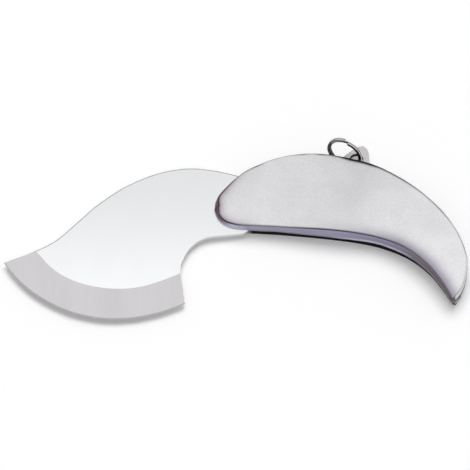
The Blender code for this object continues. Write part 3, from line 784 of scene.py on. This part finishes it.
def makeBlade():
    bm = cleanCopy("blade")
    low, high = (corner.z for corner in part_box("blade"))
    bmesh.ops.bevel(bm, geom=backCorners(bm, low, high), offset=blade["chamferWidth"], segments=1,
                    affect="EDGES", offset_type="OFFSET")
    for vert in bm.verts:
        # The bevel is as deep as it is wide, and a broken corner is flatter.
        for face, sign in ((high, 1), (low, -1)):
            if abs(abs(vert.co.z - face) - blade["chamferWidth"]) < tolerance["level"]:
                vert.co.z = face - sign * blade["chamferDepth"]
    for vert in bm.verts:
        if abs(vert.co.z - (low + high) / 2) < blade["edgeReach"]:
            vert.co.y += readTable(vert.co.x / mm, blade["edgeLift"]) * mm
    bm.normal_update()
    for face in bm.faces:
        tilt = abs(face.normal.z)
        plain = tilt > blade["flatTilt"] or tilt < blade["sideTilt"]
        face.material_index = 0 if plain else 1 if tilt > blade["bevelTilt"] else 2
        face.smooth = True
    for edge in bm.edges:
        if len(edge.link_faces) == 2:
            first, second = edge.link_faces
            gentle = first.normal.angle(second.normal, 0) < math.radians(blade["sharpDegrees"])
            flats = [abs(f.normal.z) > blade["flatTilt"] for f in (first, second)]
            edge.smooth = gentle and first.material_index == second.material_index and flats[0] == flats[1]
    placePiece("blade_finish", bm, [polishedSteel(), groundSteel(), cornerSteel()],
               "blade", "blade")


makeBlade()
print("blade: done")


# Liner and back plate are redrawn with the cover. Spine plate, spring and fasteners keep their solids.

plates = {
    "steel": "C6C6CA",
    "roughness": 0.36,
    # Rolling leaves lines of about 0.05 mm, which don't show here: they are drawn five times as coarse.
    "rolling": 0.25 * mm,
    "rollingLength": 6 * mm,
    "rollingLevels": (0.92, 1.05),
    # Colours of the stamped edges, painted highlight and painted shade: (mm along X, colour).
    "linerEdge": [(-27, "AEAABF"), (5, "AEAABF"), (11, "EAE4FC"), (24, "E2DAF2"), (28, "7E7080"),
                  (43, "4A3E42")],
    # The back sheet's edge: pale at the nose as a painted highlight, black and dark brown as painted shade in
    # the slot, and a pale patch at the hook's tip painted to match the shadowed paper.
    "backEdge": [(-27, "DADADE"), (-18.2, "DADADE"), (-17.2, "1E1B1E"), (28, "1E1B1E"), (34, "4A3E42"),
                 (39.4, "4A3E42"), (40, "B4AFB2"), (40.5, "B4AFB2"), (41, "4A3E42"), (43, "4A3E42")],
    "faceTilts": (0.7, 0.95),  # how far the normal rises where the edge's colour gives way to the steel's
    "edgeRound": 0.08 * mm,
    # The back plate's belly lies this much further in, so that the slot shows as a thin dark line.
    "bellyDraw": 0.5 * mm,
    "bellyFade": (24 * mm, 38 * mm),
    "bellyTilt": -0.3,
    "holeClear": 0.3 * mm,
}
lug = {
    "steel": "D2D0D2",
    # Painted shade: the flank greyer towards the left, and a dark rim around the hole.
    "flank": "9E9A9E",
    "flankFade": (7.6 * mm, 12 * mm),
    "roughness": 0.34,
    "marks": 0.5 * mm,
    "markLevels": (0.93, 1.05),
    "rim": "2B2325",
    "rimWidth": 0.14 * mm,
    "holeCentre": (11.58 * mm, 17.65 * mm),
    "holeDegrees": 62.3,
    "holeStretch": 1.4 * mm,
    "holeRadius": 1.85 * mm,
}
# The spring's ground lines are about 0.04 mm apart, and drawn three times as coarse.
spring = {
    "steel": "B4B5BA",
    "roughness": 0.32,
    "line": 0.12 * mm,
    "lineStretch": 20,
    "lineLevels": (0.9, 1.05),
}
fasteners = {"steel": "B9BABF", "spot": 1.5 * mm, "roughness": (0.22, 0.34)}


def rolledSteel(name, edgeLightAndShade, shadeOnTop=False):
    # Stainless sheet, stamped and tumbled: satin grey with faint rolling lines. The edges' colours along X
    # are painted highlight and painted shade.
    material, tree, shader = newMaterial(name, 1, plates["roughness"])
    place = addNode(tree, "ShaderNodeTexCoord")
    stretch = addNode(tree, "ShaderNodeMapping", {
        "Vector": place.outputs["Object"],
        "Scale": (1 / plates["rollingLength"], 1 / plates["rolling"], 1 / plates["rolling"])})
    lines = addNode(tree, "ShaderNodeTexNoise", {"Vector": stretch.outputs[0], "Scale": 1, "Detail": 3})
    shade = addNode(tree, "ShaderNodeMapRange", {
        "Value": lines.outputs["Fac"], **noiseSpan,
        "To Min": plates["rollingLevels"][0], "To Max": plates["rollingLevels"][1]})
    split = addNode(tree, "ShaderNodeSeparateXYZ", {0: place.outputs["Normal"]})
    # Painted shade: with shadeOnTop the upward faces take the edge's dark colours.
    if shadeOnTop:
        flat = addNode(tree, "ShaderNodeMath", {0: split.outputs["Z"], 1: -1}, operation="MULTIPLY")
    else:
        flat = addNode(tree, "ShaderNodeMath", {0: split.outputs["Z"]}, operation="ABSOLUTE")
    face = addNode(tree, "ShaderNodeMapRange", {
        "Value": flat.outputs[0], "From Min": plates["faceTilts"][0], "From Max": plates["faceTilts"][1]})
    spot = addNode(tree, "ShaderNodeSeparateXYZ", {0: place.outputs["Object"]})
    start, end = edgeLightAndShade[0][0], edgeLightAndShade[-1][0]
    run = addNode(tree, "ShaderNodeMapRange", {
        "Value": spot.outputs["X"], "From Min": start * mm, "From Max": end * mm})
    edge = addNode(tree, "ShaderNodeValToRGB", {0: run.outputs["Result"]})
    fillRamp(edge, [((x - start) / (end - start), colour) for x, colour in edgeLightAndShade])
    skin = addNode(tree, "ShaderNodeMix", {
        0: face.outputs["Result"], 6: edge.outputs[0], 7: toLinear(plates["steel"])}, data_type="RGBA")
    colour = addNode(tree, "ShaderNodeVectorMath", {
        0: skin.outputs[2], "Scale": shade.outputs["Result"]}, operation="SCALE")
    tree.links.new(colour.outputs[0], shader.inputs["Base Color"])
    return material


def lugSteel():
    # The same sheet at the lug, with painted shade: its flank greyer towards the left and a dark line around
    # the hole's rim.
    material, tree, shader = newMaterial("stainless_sheet_shaded_lug", 1, lug["roughness"])
    place = addNode(tree, "ShaderNodeTexCoord")
    split = addNode(tree, "ShaderNodeSeparateXYZ", {0: place.outputs["Object"]})
    marks = addNode(tree, "ShaderNodeTexNoise", {
        "Vector": place.outputs["Object"], "Scale": 1 / lug["marks"], "Detail": 3})
    shade = addNode(tree, "ShaderNodeMapRange", {
        "Value": marks.outputs["Fac"], **noiseSpan,
        "To Min": lug["markLevels"][0], "To Max": lug["markLevels"][1]})
    flank = addNode(tree, "ShaderNodeMapRange", {
        "Value": split.outputs["X"], "From Min": lug["flankFade"][0], "From Max": lug["flankFade"][1]})
    skin = addNode(tree, "ShaderNodeMix", {
        0: flank.outputs["Result"], 6: toLinear(lug["flank"]), 7: toLinear(lug["steel"])}, data_type="RGBA")
    # How far a point is from the middle line of the long hole.
    turn = math.radians(lug["holeDegrees"])
    direction = (math.cos(turn), math.sin(turn), 0)
    level = addNode(tree, "ShaderNodeVectorMath", {
        0: place.outputs["Object"], 1: (1, 1, 0)}, operation="MULTIPLY")
    reach = addNode(tree, "ShaderNodeVectorMath", {
        0: level.outputs[0], 1: (*lug["holeCentre"], 0)}, operation="SUBTRACT")
    run = addNode(tree, "ShaderNodeVectorMath", {0: reach.outputs[0], 1: direction}, operation="DOT_PRODUCT")
    held = addNode(tree, "ShaderNodeClamp", {
        "Value": run.outputs["Value"], "Min": 0, "Max": lug["holeStretch"]})
    foot = addNode(tree, "ShaderNodeVectorMath", {0: direction, "Scale": held.outputs[0]}, operation="SCALE")
    apart = addNode(tree, "ShaderNodeVectorMath", {
        0: reach.outputs[0], 1: foot.outputs[0]}, operation="DISTANCE")
    rim = addNode(tree, "ShaderNodeMapRange", {
        "Value": apart.outputs["Value"], "From Min": lug["holeRadius"] + lug["rimWidth"] / 2,
        "From Max": lug["holeRadius"] + lug["rimWidth"], "To Min": 1, "To Max": 0})
    rimmed = addNode(tree, "ShaderNodeMix", {
        0: rim.outputs["Result"], 6: skin.outputs[2], 7: toLinear(lug["rim"])}, data_type="RGBA")
    colour = addNode(tree, "ShaderNodeVectorMath", {
        0: rimmed.outputs[2], "Scale": shade.outputs["Result"]}, operation="SCALE")
    tree.links.new(colour.outputs[0], shader.inputs["Base Color"])
    return material


def springSteel():
    # Spring steel, hardened and lightly ground along its length: a darker grey.
    material, tree, shader = newMaterial("ground_spring_steel", 1, spring["roughness"])
    place = addNode(tree, "ShaderNodeTexCoord")
    stretch = addNode(tree, "ShaderNodeMapping", {
        "Vector": place.outputs["Object"],
        "Scale": (1 / (spring["lineStretch"] * spring["line"]), 1 / spring["line"], 1 / spring["line"])})
    lines = addNode(tree, "ShaderNodeTexNoise", {"Vector": stretch.outputs[0], "Scale": 1, "Detail": 2})
    shade = addNode(tree, "ShaderNodeMapRange", {
        "Value": lines.outputs["Fac"], **noiseSpan,
        "To Min": spring["lineLevels"][0], "To Max": spring["lineLevels"][1]})
    colour = addNode(tree, "ShaderNodeVectorMath", {
        0: toLinear(spring["steel"])[:3], "Scale": shade.outputs["Result"]}, operation="SCALE")
    tree.links.new(colour.outputs[0], shader.inputs["Base Color"])
    return material


def turnedSteel():
    # Stainless bar, turned: bright and slightly mottled.
    material, tree, shader = newMaterial("turned_stainless_steel", 1, fasteners["roughness"][0])
    place = addNode(tree, "ShaderNodeTexCoord")
    spots = addNode(tree, "ShaderNodeTexNoise", {
        "Vector": place.outputs["Object"], "Scale": 1 / fasteners["spot"], "Detail": 4})
    rough = addNode(tree, "ShaderNodeMapRange", {
        "Value": spots.outputs["Fac"], **noiseSpan,
        "To Min": fasteners["roughness"][0], "To Max": fasteners["roughness"][1]})
    shader.inputs["Base Color"].default_value = toLinear(fasteners["steel"])
    tree.links.new(rough.outputs["Result"], shader.inputs["Roughness"])
    return material


def roundEdges(item):
    bevel = item.modifiers.new("edge", "BEVEL")
    bevel.width = plates["edgeRound"]
    bevel.segments = 2
    bevel.limit_method = "ANGLE"
    bevel.angle_limit = math.radians(40)


def dressNode(node, material):
    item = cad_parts[node]
    item.data.materials.clear()
    item.data.materials.append(material)
    return item


def makeSheet(name, node, material, bellyDraw=0):
    # The sheet again, with hook, nose and belly redrawn as the cover's are. Its holes stay where they are.
    bm = cleanCopy(node, dissolve=False)
    bm.normal_update()
    holes = []
    for pin in ("tail_pin", "tail_pillar", "spring_pin_front", "spring_pin_rear", "cover_screw_front",
                "cover_screw_middle", "pivot_screw", "pivot_barrel"):
        low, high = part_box(pin)
        holes.append(((low + high).xy / 2, (high.x - low.x) / 2 + plates["holeClear"]))
    fadeStart, fadeEnd = plates["bellyFade"]
    for vert in bm.verts:
        sides = [f.normal for f in vert.link_faces if abs(f.normal.z) < tolerance["wallTilt"]]
        if not sides or any((vert.co.xy - middle).length < reach for middle, reach in holes):
            continue
        if min(normal.y for normal in sides) < plates["bellyTilt"]:
            vert.co.y += bellyDraw * min(1, max(0, (fadeEnd - vert.co.x) / (fadeEnd - fadeStart)))
            vert.co.y += bellyDrawn(vert.co.x)
        vert.co.xy = redrawn([vert.co.xy])[0]
    piece = placePiece(name, bm, [material], "handle", node)
    roundEdges(piece)
    piece.visible_glossy = False  # as for the cover


def dressNodes():
    makeSheet("liner", "front_liner", rolledSteel("tumbled_stainless_sheet", plates["linerEdge"]))
    makeSheet("back_sheet", "back_plate",
              rolledSteel("stainless_sheet_shaded_edges", plates["backEdge"], shadeOnTop=True), plates["bellyDraw"])
    roundEdges(dressNode("spine_plate", lugSteel()))
    roundEdges(dressNode("back_spring", springSteel()))
    bar = turnedSteel()
    for node in ("pivot_barrel", "pivot_screw", "cover_screw_front", "cover_screw_middle",
                 "spring_pin_front", "spring_pin_rear", "tail_pillar", "tail_pin"):
        dressNode(node, bar).visible_glossy = False  # as for the cover


dressNodes()
print("plates, spring and fasteners: done")


# Split ring.

ring = {
    "metal": "FFFEFC",
    "dark": "1F1817",
    "roughness": (0.12, 0.2),
    "marks": 0.4 * mm,
    "outerRadius": 5.2 * mm,
    "shift": -0.12 * mm,  # along its own plane
    "wireWidth": 0.98 * mm,
    "wireHeight": 0.52 * mm,
    "turnGap": 0.02 * mm,
    "planDegrees": -22.36,
    "leanDegrees": 10.31,
    "startDegrees": 94,
    "turns": 1.965,
    # Painted shade on one arc of the ring: the middle and half width of that arc, and how strongly.
    "shadedArcDegrees": (200, 52),
    "shadedArcLevel": 0.85,
    "shadedArcFade": (1.15, 0.3),  # shares of the half width: where it ends, and the run of its fading
    "segments": 96,
    "sides": 16,
    "squareness": 0.6,  # 1 is an oval wire, and less is flatter with rounder corners
    "sharpDegrees": 50,
}


def platedWire():
    # Steel wire, nickel plated: bright and warm, with painted shade along its corners and a brown painted
    # shade on one arc.
    material, tree, shader = newMaterial("nickel_plated_wire", 1, ring["roughness"][0])
    place = addNode(tree, "ShaderNodeTexCoord")
    marks = addNode(tree, "ShaderNodeTexNoise", {
        "Vector": place.outputs["Object"], "Scale": 1 / ring["marks"], "Detail": 3})
    rough = addNode(tree, "ShaderNodeMapRange", {
        "Value": marks.outputs["Fac"], **noiseSpan,
        "To Min": ring["roughness"][0], "To Max": ring["roughness"][1]})
    side = addNode(tree, "ShaderNodeAttribute", attribute_name="side")
    tone = addNode(tree, "ShaderNodeMix", {
        0: side.outputs["Fac"], 6: toLinear(ring["metal"]), 7: toLinear(ring["dark"])}, data_type="RGBA")
    tree.links.new(tone.outputs[2], shader.inputs["Base Color"])
    tree.links.new(rough.outputs["Result"], shader.inputs["Roughness"])
    return material


def shadedArcAt(degrees):
    middle, half = ring["shadedArcDegrees"]
    end, run = ring["shadedArcFade"]
    away = abs((degrees - middle + 180) % 360 - 180) / half
    return ring["shadedArcLevel"] * min(1, max(0, (end - away) / run))


def makeRing():
    plan, lean = math.radians(ring["planDegrees"]), math.radians(ring["leanDegrees"])
    along = Vector((math.cos(plan), math.sin(plan), 0))
    outward = Vector((-math.sin(plan), math.cos(plan), 0))
    rise = Vector((0, 0, math.cos(lean))) + outward * math.sin(lean)
    axis = along.cross(rise)
    low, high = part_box("split_ring")
    centre = (low + high) / 2 + along * ring["shift"]
    radius = ring["outerRadius"] - ring["wireWidth"] / 2
    pitch = ring["wireHeight"] + ring["turnGap"]
    steps = int(ring["turns"] * ring["segments"])
    bm = bmesh.new()
    darkSide = bm.verts.layers.float.new("side")
    hoops = []
    for k in range(steps + 1):
        turn = ring["turns"] * k / steps
        angle = math.radians(ring["startDegrees"]) + 2 * math.pi * turn
        spoke = along * math.cos(angle) + rise * math.sin(angle)
        middle = centre + spoke * radius + axis * pitch * (turn - ring["turns"] / 2)
        shadedArc = shadedArcAt(math.degrees(angle))
        hoop = []
        for side in range(ring["sides"]):
            # A rounded flat wire: a superellipse section, with painted shade at its four corners.
            around = 2 * math.pi * side / ring["sides"]
            c, s = math.cos(around), math.sin(around)
            across = ring["wireWidth"] / 2 * math.copysign(abs(c) ** ring["squareness"], c)
            up = ring["wireHeight"] / 2 * math.copysign(abs(s) ** ring["squareness"], s)
            vert = bm.verts.new(middle + spoke * across + axis * up)
            vert[darkSide] = max(shadedArc, math.sin(2 * around) ** 2)
            hoop.append(vert)
        hoops.append(hoop)
    for first, second in zip(hoops, hoops[1:]):
        for k in range(ring["sides"]):
            bm.faces.new((first[k - 1], first[k], second[k], second[k - 1]))
    bm.faces.new(hoops[0])
    bm.faces.new(hoops[-1])
    bmesh.ops.recalc_face_normals(bm, faces=bm.faces)
    placePiece("ring_wire", bm, [platedWire()], "ring", "split_ring", ring["sharpDegrees"])


makeRing()
print("split ring: done")
